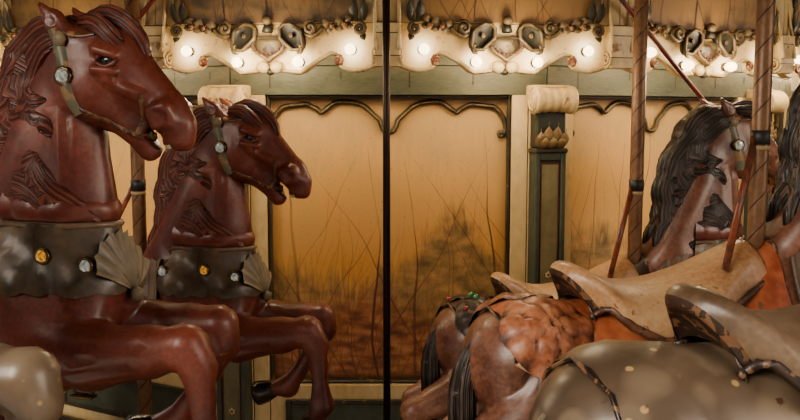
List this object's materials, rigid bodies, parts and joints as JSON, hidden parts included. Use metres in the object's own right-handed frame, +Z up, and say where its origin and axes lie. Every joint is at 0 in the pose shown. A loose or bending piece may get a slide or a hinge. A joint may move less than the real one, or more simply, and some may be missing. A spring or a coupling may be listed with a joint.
{
  "type": "fairground carousel with three rows of jumping horses",
  "caption": "Round fairground ride: turntable with rows of rising horses on poles round a painted centre drum, under a canvas tilt.",
  "frame": {"origin": "centre of the plinth's foot, on the ground", "axes": "+Z up along the axis of rotation; -Y is the side that the picture looks in from, where the horses run towards +X"},
  "size_m": [9.74, 9.74, 5.5],
  "materials": {
    "grey_paint": "grey painted boards, dull",
    "cream_paint": "cream gloss paint on wood, lined in dark red",
    "scene_paint": "golden ochre landscape painted on board, varnished",
    "green_paint": "dark green gloss paint with olive fields",
    "timber": "sawn and oiled timber",
    "deck_boards": "worn platform boards",
    "dark_steel": "dark painted steel",
    "red_steel": "dark red painted steel",
    "carved_paint": "carved wood in old gold, olive and cream",
    "canvas": "cream canvas",
    "gilt": "aged gilding",
    "inner_horse": "dark reddish brown varnished carving, brass pole, leather and jewels",
    "middle_horse": "brown varnished carving, brass pole, leather and jewels",
    "outer_horse": "pale grey varnished carving, brass pole, leather and jewels"
  },
  "bodies": {
    "centre": {"plinth": "grey_paint", "drum_wall": "cream_paint", "painted_panels": "scene_paint", "pilasters": "green_paint", "drum_lid": "timber", "mast": "dark_steel"},
    "turntable": {"platform_deck": "deck_boards", "platform_joists": "timber", "platform_rim": "green_paint", "sweep_frame": "timber", "pole_guides": "timber", "inner_hangers": "red_steel", "outer_hangers": "red_steel", "inner_cornice": "cream_paint", "cornice_boards": "carved_paint", "rounding_boards": "carved_paint", "rafters": "timber", "canvas_tilt": "canvas", "finial": "gilt"},
    "horse_inner_01": {"horse_inner_01": "inner_horse"},
    "horse_inner_02": {"horse_inner_02": "inner_horse"},
    "horse_inner_03": {"horse_inner_03": "inner_horse"},
    "horse_inner_04": {"horse_inner_04": "inner_horse"},
    "horse_inner_05": {"horse_inner_05": "inner_horse"},
    "horse_inner_06": {"horse_inner_06": "inner_horse"},
    "horse_inner_07": {"horse_inner_07": "inner_horse"},
    "horse_inner_08": {"horse_inner_08": "inner_horse"},
    "horse_inner_09": {"horse_inner_09": "inner_horse"},
    "horse_inner_10": {"horse_inner_10": "inner_horse"},
    "horse_middle_01": {"horse_middle_01": "middle_horse"},
    "horse_middle_02": {"horse_middle_02": "middle_horse"},
    "horse_middle_03": {"horse_middle_03": "middle_horse"},
    "horse_middle_04": {"horse_middle_04": "middle_horse"},
    "horse_middle_05": {"horse_middle_05": "middle_horse"},
    "horse_middle_06": {"horse_middle_06": "middle_horse"},
    "horse_middle_07": {"horse_middle_07": "middle_horse"},
    "horse_middle_08": {"horse_middle_08": "middle_horse"},
    "horse_middle_09": {"horse_middle_09": "middle_horse"},
    "horse_middle_10": {"horse_middle_10": "middle_horse"},
    "horse_outer_01": {"horse_outer_01": "outer_horse"},
    "horse_outer_02": {"horse_outer_02": "outer_horse"},
    "horse_outer_03": {"horse_outer_03": "outer_horse"},
    "horse_outer_04": {"horse_outer_04": "outer_horse"},
    "horse_outer_05": {"horse_outer_05": "outer_horse"},
    "horse_outer_06": {"horse_outer_06": "outer_horse"},
    "horse_outer_07": {"horse_outer_07": "outer_horse"},
    "horse_outer_08": {"horse_outer_08": "outer_horse"},
    "horse_outer_09": {"horse_outer_09": "outer_horse"},
    "horse_outer_10": {"horse_outer_10": "outer_horse"}
  },
  "joints": [
    {"name": "turntable_spin", "type": "hinge", "parent": "centre", "child": "turntable", "pos_m": [0, 0, 3.2], "axis": [0, 0, 1], "continuous": true},
    {"name": "horse_inner_01_rise", "type": "slide", "parent": "turntable", "child": "horse_inner_01", "axis": [0, 0, 1], "range_m": [-0.13, 0.13]},
    {"name": "horse_inner_02_rise", "type": "slide", "parent": "turntable", "child": "horse_inner_02", "axis": [0, 0, 1], "range_m": [-0.13, 0.13]},
    {"name": "horse_inner_03_rise", "type": "slide", "parent": "turntable", "child": "horse_inner_03", "axis": [0, 0, 1], "range_m": [-0.13, 0.13]},
    {"name": "horse_inner_04_rise", "type": "slide", "parent": "turntable", "child": "horse_inner_04", "axis": [0, 0, 1], "range_m": [-0.13, 0.13]},
    {"name": "horse_inner_05_rise", "type": "slide", "parent": "turntable", "child": "horse_inner_05", "axis": [0, 0, 1], "range_m": [-0.13, 0.13]},
    {"name": "horse_inner_06_rise", "type": "slide", "parent": "turntable", "child": "horse_inner_06", "axis": [0, 0, 1], "range_m": [-0.13, 0.13]},
    {"name": "horse_inner_07_rise", "type": "slide", "parent": "turntable", "child": "horse_inner_07", "axis": [0, 0, 1], "range_m": [-0.13, 0.13]},
    {"name": "horse_inner_08_rise", "type": "slide", "parent": "turntable", "child": "horse_inner_08", "axis": [0, 0, 1], "range_m": [-0.13, 0.13]},
    {"name": "horse_inner_09_rise", "type": "slide", "parent": "turntable", "child": "horse_inner_09", "axis": [0, 0, 1], "range_m": [-0.13, 0.13]},
    {"name": "horse_inner_10_rise", "type": "slide", "parent": "turntable", "child": "horse_inner_10", "axis": [0, 0, 1], "range_m": [-0.13, 0.13]},
    {"name": "horse_middle_01_rise", "type": "slide", "parent": "turntable", "child": "horse_middle_01", "axis": [0, 0, 1], "range_m": [-0.13, 0.13]},
    {"name": "horse_middle_02_rise", "type": "slide", "parent": "turntable", "child": "horse_middle_02", "axis": [0, 0, 1], "range_m": [-0.13, 0.13]},
    {"name": "horse_middle_03_rise", "type": "slide", "parent": "turntable", "child": "horse_middle_03", "axis": [0, 0, 1], "range_m": [-0.13, 0.13]},
    {"name": "horse_middle_04_rise", "type": "slide", "parent": "turntable", "child": "horse_middle_04", "axis": [0, 0, 1], "range_m": [-0.13, 0.13]},
    {"name": "horse_middle_05_rise", "type": "slide", "parent": "turntable", "child": "horse_middle_05", "axis": [0, 0, 1], "range_m": [-0.13, 0.13]},
    {"name": "horse_middle_06_rise", "type": "slide", "parent": "turntable", "child": "horse_middle_06", "axis": [0, 0, 1], "range_m": [-0.13, 0.13]},
    {"name": "horse_middle_07_rise", "type": "slide", "parent": "turntable", "child": "horse_middle_07", "axis": [0, 0, 1], "range_m": [-0.13, 0.13]},
    {"name": "horse_middle_08_rise", "type": "slide", "parent": "turntable", "child": "horse_middle_08", "axis": [0, 0, 1], "range_m": [-0.13, 0.13]},
    {"name": "horse_middle_09_rise", "type": "slide", "parent": "turntable", "child": "horse_middle_09", "axis": [0, 0, 1], "range_m": [-0.13, 0.13]},
    {"name": "horse_middle_10_rise", "type": "slide", "parent": "turntable", "child": "horse_middle_10", "axis": [0, 0, 1], "range_m": [-0.13, 0.13]},
    {"name": "horse_outer_01_rise", "type": "slide", "parent": "turntable", "child": "horse_outer_01", "axis": [0, 0, 1], "range_m": [-0.13, 0.13]},
    {"name": "horse_outer_02_rise", "type": "slide", "parent": "turntable", "child": "horse_outer_02", "axis": [0, 0, 1], "range_m": [-0.13, 0.13]},
    {"name": "horse_outer_03_rise", "type": "slide", "parent": "turntable", "child": "horse_outer_03", "axis": [0, 0, 1], "range_m": [-0.13, 0.13]},
    {"name": "horse_outer_04_rise", "type": "slide", "parent": "turntable", "child": "horse_outer_04", "axis": [0, 0, 1], "range_m": [-0.13, 0.13]},
    {"name": "horse_outer_05_rise", "type": "slide", "parent": "turntable", "child": "horse_outer_05", "axis": [0, 0, 1], "range_m": [-0.13, 0.13]},
    {"name": "horse_outer_06_rise", "type": "slide", "parent": "turntable", "child": "horse_outer_06", "axis": [0, 0, 1], "range_m": [-0.13, 0.13]},
    {"name": "horse_outer_07_rise", "type": "slide", "parent": "turntable", "child": "horse_outer_07", "axis": [0, 0, 1], "range_m": [-0.13, 0.13]},
    {"name": "horse_outer_08_rise", "type": "slide", "parent": "turntable", "child": "horse_outer_08", "axis": [0, 0, 1], "range_m": [-0.13, 0.13]},
    {"name": "horse_outer_09_rise", "type": "slide", "parent": "turntable", "child": "horse_outer_09", "axis": [0, 0, 1], "range_m": [-0.13, 0.13]},
    {"name": "horse_outer_10_rise", "type": "slide", "parent": "turntable", "child": "horse_outer_10", "axis": [0, 0, 1], "range_m": [-0.13, 0.13]}
  ],
  "couplings": [
    {"joint": "horse_inner_01_rise", "follows": "horse_outer_01_rise", "ratio": 1},
    {"joint": "horse_inner_02_rise", "follows": "horse_outer_01_rise", "ratio": -1},
    {"joint": "horse_inner_03_rise", "follows": "horse_outer_01_rise", "ratio": 1},
    {"joint": "horse_inner_04_rise", "follows": "horse_outer_01_rise", "ratio": -1},
    {"joint": "horse_inner_05_rise", "follows": "horse_outer_01_rise", "ratio": 1},
    {"joint": "horse_inner_06_rise", "follows": "horse_outer_01_rise", "ratio": -1},
    {"joint": "horse_inner_07_rise", "follows": "horse_outer_01_rise", "ratio": 1},
    {"joint": "horse_inner_08_rise", "follows": "horse_outer_01_rise", "ratio": -1},
    {"joint": "horse_inner_09_rise", "follows": "horse_outer_01_rise", "ratio": 1},
    {"joint": "horse_inner_10_rise", "follows": "horse_outer_01_rise", "ratio": -1},
    {"joint": "horse_middle_01_rise", "follows": "horse_outer_01_rise", "ratio": -1},
    {"joint": "horse_middle_02_rise", "follows": "horse_outer_01_rise", "ratio": 1},
    {"joint": "horse_middle_03_rise", "follows": "horse_outer_01_rise", "ratio": -1},
    {"joint": "horse_middle_04_rise", "follows": "horse_outer_01_rise", "ratio": 1},
    {"joint": "horse_middle_05_rise", "follows": "horse_outer_01_rise", "ratio": -1},
    {"joint": "horse_middle_06_rise", "follows": "horse_outer_01_rise", "ratio": 1},
    {"joint": "horse_middle_07_rise", "follows": "horse_outer_01_rise", "ratio": -1},
    {"joint": "horse_middle_08_rise", "follows": "horse_outer_01_rise", "ratio": 1},
    {"joint": "horse_middle_09_rise", "follows": "horse_outer_01_rise", "ratio": -1},
    {"joint": "horse_middle_10_rise", "follows": "horse_outer_01_rise", "ratio": 1},
    {"joint": "horse_outer_02_rise", "follows": "horse_outer_01_rise", "ratio": -1},
    {"joint": "horse_outer_03_rise", "follows": "horse_outer_01_rise", "ratio": 1},
    {"joint": "horse_outer_04_rise", "follows": "horse_outer_01_rise", "ratio": -1},
    {"joint": "horse_outer_05_rise", "follows": "horse_outer_01_rise", "ratio": 1},
    {"joint": "horse_outer_06_rise", "follows": "horse_outer_01_rise", "ratio": -1},
    {"joint": "horse_outer_07_rise", "follows": "horse_outer_01_rise", "ratio": 1},
    {"joint": "horse_outer_08_rise", "follows": "horse_outer_01_rise", "ratio": -1},
    {"joint": "horse_outer_09_rise", "follows": "horse_outer_01_rise", "ratio": 1},
    {"joint": "horse_outer_10_rise", "follows": "horse_outer_01_rise", "ratio": -1}
  ]
}
